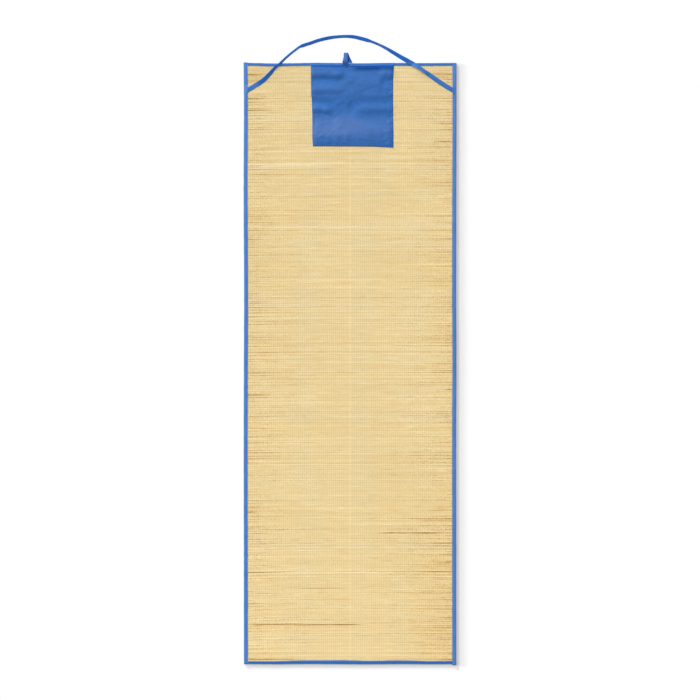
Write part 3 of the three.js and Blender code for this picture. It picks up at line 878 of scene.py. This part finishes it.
def tape_profile():
    """The tape's section as rows of: reach from the fold, share of the flat wall, height,
    and how much the wall's puckers move it."""
    rows = [(TAPE_RADIUS, share, TAPE_TOP + dip * MM, pucker) for share, dip, pucker in TAPE_FACE]
    rows += fold_arc(TAPE_RADIUS, (60, 30, 0, -30, -60))
    rows += [(TAPE_RADIUS, share, 0, 0) for share in WALL_SHARES]
    rows += [(TAPE_RADIUS, share, TAPE_WALL, 0) for share in WALL_SHARES[::-1]]
    rows += fold_arc(CAVITY_RADIUS, (-45, 0, 45))
    rows += [(TAPE_RADIUS, share, TAPE_TOP - TAPE_WALL, 0) for share in WALL_SHARES]
    return np.array(rows).T


# How much the cloth of a tape wanders at its fold and its inner edge, and its puckers, in
# millimetres
FOLD_WANDER = 0.1
INNER_WANDER = 0.13
FINE_PUCKER = 0.09
LONG_PUCKER = 0.1


def lift_at(line, place, share):
    """How far a tape is lifted at a place, for a share of its flat wall."""
    total = np.zeros_like(place)
    for at, half, high in line.lifts:
        away = np.abs(place / MM - at)
        total += high * MM * (1 - smoothstep(away, half, half + LIFT_SLOPE))
    return total * smoothstep(share, 0.3, 0.8)


def patch_sides(down):
    return PATCH_SIDES.at("left", down), PATCH_SIDES.at("right", down)


def tape_shade(line, place, inset):
    """Where a tape has painted shade: along the seam at the foot, and where the head's tape lies
    on the patch, most at its inner edge. `inset` is millimetres from the fold."""
    if line is FOOT:
        return 0.8 * np.exp(-(((inset - 4.7) / 1.4) ** 2))
    if line is HEAD:
        left, right = patch_sides(0)
        on_patch = plateau(place / MM, left - 3, left, right, right + 3)
        return on_patch * (0.38 + 0.5 * smoothstep(inset, 7.9, 8.8))
    return 0 * inset


def make_tape(line, cloth):
    """A strip of cloth folded over the mat's edge, puckered along its seam."""
    reach, share, height, pucker = tape_profile()
    first, last = line.stations[0], line.stations[-1]
    count = int((last - first) / TAPE_STEP)
    place = np.linspace(first, last, count)
    past_fold = wander(count, 3, FOLD_WANDER) + line.past_fold
    past_inner = wander(count, 3, INNER_WANDER) - line.past_inner
    outer = line.outer(place) + line.outward * past_fold * MM
    inner = line.inner(place) + line.outward * past_inner * MM
    ripple = wander(count, 2.4, FINE_PUCKER) + wander(count, 9, LONG_PUCKER)
    width = np.abs(outer - inner)
    across = reach + share * (width[:, None] - TAPE_RADIUS)
    raised = np.where(height > TAPE_RADIUS, lift_at(line, place[:, None], share), 0)
    z = height + ripple[:, None] * MM * pucker + raised
    run = place[:, None] + 0 * across
    points = line.point(outer[:, None] - line.outward * across, run, z)
    inset = across / MM
    # Painted light: the outermost millimetres at the fold take the paler fold colour.
    change = 1 - smoothstep(inset, 1.5, 3.5)
    shade = tape_shade(line, run, inset)
    if (line.outward > 0) == bool(line.along):
        points, across, change, shade = (part[:, ::-1] for part in (points, across, change, shade))
    steps = np.abs(np.diff(points[0, :, 2])) + np.abs(np.diff(across[0]))
    around = np.concatenate([[0], np.cumsum(steps)])
    weave = np.stack([run, around + 0 * run, 0 * run], -1)
    values = {"weave": weave, "change": change, "shade": shade}
    piece = make_tube(line.name.replace("binding", "tape"), points, cloth, values)
    return piece, tape_seam(line, place, width, outer)


def tape_seam(line, place, width, outer):
    """Stitches along the furrow in which the seam pulls the tape down."""
    length, breadth, rise, root = TAPE_STITCH
    at = np.arange(place[0] + SEAM_PITCH, place[-1] - SEAM_PITCH, SEAM_PITCH)
    reach = TAPE_RADIUS + SEAM_SHARE * (np.interp(at, place, width) - TAPE_RADIUS)
    side = np.interp(at, place, outer) - line.outward * reach
    height = TAPE_TOP - 0.3 * MM + lift_at(line, at, SEAM_SHARE)
    name = line.name.replace("binding", "seam")
    forward = line.point(0, length, 0)
    sideways = line.point(breadth if line.along else -breadth, 0, 0)
    centre = line.point(side, at, height)
    return spindles(name, SEAM_THREAD, centre, forward, sideways, rise, root)


# Patch. Its lengths are millimetres until its points are made.
def wave_heights(x, down):
    """The patch's waves, which run from its left part through its middle to its right."""
    further = LEFT_REACH.at("further", down)
    height = LEFT_WAVES.at("high", down)
    for waves, start, end, reach in PATCH_PARTS:
        share = smoothstep(x - further * reach, start, end)
        height = height + (waves.at("high", down) - height) * share
    return height


def fold_heights(folds, x, down):
    total = np.zeros_like(x)
    for at_x, at_down, long, broad, degrees, high in folds:
        turn = math.radians(degrees)
        dx = x - at_x
        dy = down - at_down
        along = (dx * math.cos(turn) + dy * math.sin(turn)) / long
        across = (dy * math.cos(turn) - dx * math.sin(turn)) / broad
        total += high * (1 - np.minimum(along**2 + across**2, 1)) ** 2
    return total


def patch_point(u, v):
    """A point of the patch, across and down, for shares of its sides, and where its head is."""
    left, right = patch_sides(v * PATCH_SIZE[1])
    x = left + (right - left) * u
    head = (HEAD_Y - HEAD.inner(x * MM)) / MM
    down = head + (PATCH_FOOT.at("down", x) - head) * v
    return x, down, head


def patch_height(x, down, head):
    """Height of the patch's upper face over its rest. Its hem and the part under the tape
    lie flatter, and the seam pulls it down stitch by stitch."""
    left, right = patch_sides(down)
    sides = np.minimum(x - left, right - x)
    foot = PATCH_FOOT.at("down", x) - down
    edge = np.minimum(sides, foot)
    free = 0.65 + 0.35 * smoothstep(edge, 0, PATCH_HEM)
    free *= smoothstep(down - head, 1, 5)
    folds = fold_heights(PATCH_FOLDS, x, down) + fold_heights(PATCH_CREASES, x, down)
    height = free * (wave_heights(x, down) + folds)
    seam = np.exp(-(((edge - PATCH_SEAM_INSET) / PATCH_SEAM_WIDTH) ** 2))
    seam *= smoothstep(down, 30, 60)
    run = np.where(foot < sides, x, down)
    pull = 0.5 + 0.5 * np.cos(math.pi * run / PATCH_SEAM_PITCH)
    height -= seam * (0.05 + 0.4 * pull)
    height -= 0.2 * smoothstep(-edge, -1.0, 0.2)
    return height - 0.35 * smoothstep(head - down, -4, 0)


def patch_looks(x, down, head, height):
    """Where the patch has painted sheen, a paler and greyer blue over its lower middle and its
    ridges, and where it has painted shade: the head tape's shadow, under its edge and beside it.
    """
    middle = plateau(down, 135, 175, 190, 222)
    # Painted sheen: a paler, greyer blue over the lower middle and on the ridges.
    painted_sheen = 0.24 + 0.66 * middle * (1 - 0.6 * smoothstep(x, 10, 70))
    painted_sheen = np.clip(painted_sheen + 0.1 * (np.minimum(height, 2) - 1.1), 0, 1)
    tucked = down - head
    # Painted shade: the head tape's shadow along its edge, and wider to the right.
    under_tape = 0.85 * (1 - smoothstep(tucked, 2, 5.5))
    beside_tape = 0.9 * smoothstep(x, 0, 25) * (1 - smoothstep(tucked, 7, 19))
    return painted_sheen, np.maximum(under_tape, beside_tape)


def make_patch():
    """The patch's cloth, with the sewing thread that shows near its free edges."""
    u, v = np.meshgrid(*(np.linspace(0, 1, count) for count in PATCH_GRID))
    x, down, head = patch_point(u, v)
    crumple = field(x.shape, 4, 5, PATCH_CRUMPLE) + field(x.shape, 12, 12, PATCH_CRUMPLE)
    rough = smoothstep(down, 130, 165) * (1 - smoothstep(x, -45, 10)) + smoothstep(x, 92, 112)
    crumple *= 0.5 + 0.6 * np.minimum(rough, 1)
    height = np.maximum(patch_height(x, down, head) + crumple, -0.5)
    top = np.stack([x * MM, HEAD_Y - down * MM, PATCH_FLOOR + PATCH_THICKNESS + height * MM], -1)
    low = top.copy()
    low[..., 2] = np.maximum(top[..., 2] - PATCH_THICKNESS, PATCH_FLOOR)
    points = np.stack([top, low])
    painted_sheen, shade = patch_looks(x, down, head, height)
    index = np.arange(x.size).reshape(x.shape)
    upper = np.stack([index[:-1, :-1], index[1:, :-1], index[1:, 1:], index[:-1, 1:]], -1)
    upper = upper.reshape(-1, 4)
    under = upper[:, ::-1] + index.size
    rim = np.concatenate([index[0, :-1], index[:-1, -1], index[-1, :0:-1], index[:0:-1, 0]])
    after = np.roll(rim, -1)
    skirt = np.stack([rim, after, after + index.size, rim + index.size], -1)
    values = {
        "weave": points * (1, 1, 0),
        "change": np.stack([painted_sheen, painted_sheen]),
        "shade": np.stack([shade, shade]),
    }
    cloth = make_mesh("patch_cloth", points, [upper, under, skirt], PATCH_CLOTH, values)
    return cloth, patch_seam(top)


def patch_seam(top):
    """Stitches on the patch's cloth, a few millimetres inside its two sides and its foot."""
    length, breadth, rise, root = PATCH_STITCH
    rows, columns = top.shape[:2]
    width, height = PATCH_SIZE
    first = round(PATCH_SEAM_INSET / width * columns)
    foot_row = rows - 1 - round(PATCH_SEAM_INSET / height * rows)
    sides = (first, columns - 1 - first)
    spots = [(j, i, 1, 0) for j in range(4, foot_row - 1, 3) for i in sides]
    spots += [(foot_row, i, 0, 1) for i in range(first, columns - first, 3)]
    j, i, down, across = np.array(spots).T
    ahead = unit(top[j + down, i + across] - top[j - down, i - across])
    aside = np.stack([ahead[:, 1], -ahead[:, 0], 0 * ahead[:, 0]], -1)
    centre = top[j, i]
    forward = ahead * length
    return spindles("patch_seam", SEAM_THREAD, centre, forward, aside * breadth, rise, root)


# Ribbons
def catmull_rom(points, shares):
    """The centripetal curve through the points, at shares from 0 to 1."""
    before = 2 * points[0] - points[1]
    beyond = 2 * points[-1] - points[-2]
    padded = np.vstack([before, points, beyond])
    spot = shares * (len(points) - 1)
    index = np.minimum(spot.astype(int), len(points) - 2)
    weight = (spot - index)[:, None]
    p0, p1, p2, p3 = (padded[index + i] for i in range(4))
    d0, d1, d2 = (
        np.sqrt(np.linalg.norm(b - a, axis=1))[:, None] for a, b in ((p0, p1), (p1, p2), (p2, p3))
    )
    t1 = ((p1 - p0) / d0 - (p2 - p0) / (d0 + d1) + (p2 - p1) / d1) * d1
    t2 = ((p2 - p1) / d1 - (p3 - p1) / (d1 + d2) + (p3 - p2) / d2) * d1
    cubic = 2 * p1 - 2 * p2 + t1 + t2
    square = -3 * p1 + 3 * p2 - 2 * t1 - t2
    return ((cubic * weight + square) * weight + t1) * weight + p1


def distances(points):
    """How far along a line of points each one lies."""
    return np.concatenate([[0], np.cumsum(np.linalg.norm(np.diff(points, axis=0), axis=1))])


# The ribbon's section: shares of half its width and of its thickness. Its edges are woven
# thicker than its middle.
RIBBON_SECTION = np.array([
    (-1.0, 0.0), (-0.97, 0.36), (-0.86, 0.5), (-0.45, 0.46), (0.0, 0.43), (0.45, 0.46),
    (0.86, 0.5), (0.97, 0.36), (1.0, 0.0), (0.97, -0.36), (0.86, -0.5), (0.0, -0.45),
    (-0.86, -0.5), (-0.97, -0.36),
])


def make_ribbon(name, centre, side, normal, width, thickness, change, material):
    """A woven ribbon through the stations. `change` has a row for each of them, with one
    value or one for each of the section's points."""
    wide = (width / 2)[:, None, None] * RIBBON_SECTION[:, :1]
    thick = thickness[:, None, None] * RIBBON_SECTION[:, 1:]
    points = centre[:, None] + side[:, None] * wide + normal[:, None] * thick
    run = distances(centre)[:, None] + 0 * wide[..., 0]
    weave = np.stack([run, wide[..., 0], 0 * run], -1)
    values = {"weave": weave, "change": change + 0 * run}
    return make_tube(name, points, material, values), run[-1, 0]


def make_strap():
    """The strap lies flat at its ends and stands on its inner edge over the arch, where its
    upper face has painted light, a stronger blue. It is pressed thinner where it runs in under the
    tapes."""
    route = STRAP_ROUTE.columns
    points = np.stack([route["x"], route["up"], route["low"]], -1) * MM
    points[:, 1] += HEAD_Y
    fine = np.linspace(0, 1, 4000)
    run = distances(catmull_rom(points, fine))
    stations = np.interp(np.arange(0, run[-1], STRAP_STEP), run, fine)
    centre = catmull_rom(points, stations)
    order = np.arange(len(points), dtype=float)
    rolls = Table("row roll", np.stack([order, route["roll"]], -1))
    degrees = rolls.at("roll", stations * order[-1])
    # Painted light: where the strap is turned up, its upper face takes the stronger blue.
    upper_face = RIBBON_SECTION[:, 1] > 0
    change = smoothstep(degrees, *STRAP_PAINTED_LIGHT_ROLL)[:, None] * upper_face
    roll = np.radians(degrees)[:, None]
    tangent = unit(np.gradient(centre, axis=0))
    level = unit(np.stack([-tangent[:, 1], tangent[:, 0], 0 * degrees], -1))
    side = level * np.cos(roll) + np.cross(tangent, level) * np.sin(roll)
    normal = np.cross(tangent, side)
    ground = np.where(centre[:, 1] < HEAD_Y, STRAW_TOP + GAP, 0)
    lowest = np.abs(side[:, 2]) * STRAP_WIDTH / 2 + np.abs(normal[:, 2]) * RIBBON_THICKNESS / 2
    centre[:, 2] = np.maximum(centre[:, 2], ground) + lowest
    free = free_of_sides(centre[:, 0], centre[:, 1])
    press = 1 - smoothstep(free, -1 * MM, 6 * MM)
    centre[:, 2] -= STRAP_LOWERED * press
    thickness = RIBBON_THICKNESS - STRAP_PRESSED * press
    width = STRAP_WIDTH + wander(len(centre), 6, 0.12) * MM
    shown = free > -STRAP_TUCK
    lie = [part[shown] for part in (centre, side, normal, width, thickness, change)]
    return make_ribbon("strap_ribbon", *lie, STRAP_CLOTH)


def make_loop():
    """The hanging loop's ribbon, whose sections lie level across the mat. It has painted shade,
    a deeper blue, on its back leg and a little where it is pinched under the tape."""
    route = LOOP_ROUTE.columns
    points = np.stack([route["x"], route["up"], route["high"]], -1) * MM
    points[:, 1] += HEAD.outer(points[-1, 0])
    stations = np.linspace(0, 1, LOOP_STATIONS)
    centre = catmull_rom(points, stations)
    side = np.array([-1.0, 0, 0]) + 0 * centre
    normal = unit(np.cross(side, unit(np.gradient(centre, axis=0))))
    order = np.arange(len(points))
    row = stations * order[-1]
    width = np.interp(row, order, route["wide"]) * MM
    thickness = np.full(len(centre), RIBBON_THICKNESS)
    # Painted shade: a deeper blue on the back leg and, a little, at the pinched end.
    pinched = 1 - smoothstep(row, 1, 4)
    painted_shade_share = (0.4 * pinched + smoothstep(row, 8.5, 9.5))[:, None]
    return make_ribbon("loop_ribbon", centre, side, normal, width, thickness, painted_shade_share, LOOP_CLOTH)


make_camera()
floor = make_floor()

TAPES = [
    (LEFT, cloth_material("left_tape_cloth", TAPE_WEAVE, LEFT_TAPE_BLUE)),
    (RIGHT, cloth_material("right_tape_cloth", TAPE_WEAVE, RIGHT_TAPE_BLUE, RIGHT_FOLD_PAINTED_LIGHT_BLUE)),
    (HEAD, cloth_material("head_tape_cloth", TAPE_WEAVE, HEAD_TAPE_BLUE, shaded=True)),
    (FOOT, cloth_material("foot_tape_cloth", TAPE_WEAVE, FOOT_TAPE_BLUE, FOOT_FOLD_PAINTED_LIGHT_BLUE, True)),
]
PATCH_CLOTH = cloth_material("patch_cloth", PATCH_WEAVE, PATCH_DEEP_BLUE, PATCH_PAINTED_SHEEN_BLUE, True)
STRAP_CLOTH = cloth_material("strap_cloth", RIBBON_WEAVE, STRAP_BLUE, STRAP_PAINTED_LIGHT_BLUE)
LOOP_CLOTH = cloth_material("loop_cloth", RIBBON_WEAVE, LOOP_BLUE, LOOP_PAINTED_SHADE_BLUE)
SEAM_THREAD = thread_material("seam_thread", SEAM_BLUE, 0.15, 0.6)

straws, *straw_lie = make_straws()
warp_pieces = make_warp(*straw_lie)
dress("straw", "straw_panel", straws, *warp_pieces)

for line, cloth in TAPES:
    tape, seam = make_tape(line, cloth)
    dress("tape", line.name, tape, seam)

patch, seam = make_patch()
dress("patch_cloth", "patch", patch, seam)

strap, strap_length = make_strap()
dress("strap_tape", "carry_strap", strap)

loop, loop_length = make_loop()
dress("loop_tape", "hanging_loop", loop)

make_light(floor, [straws, *warp_pieces], [strap, loop])
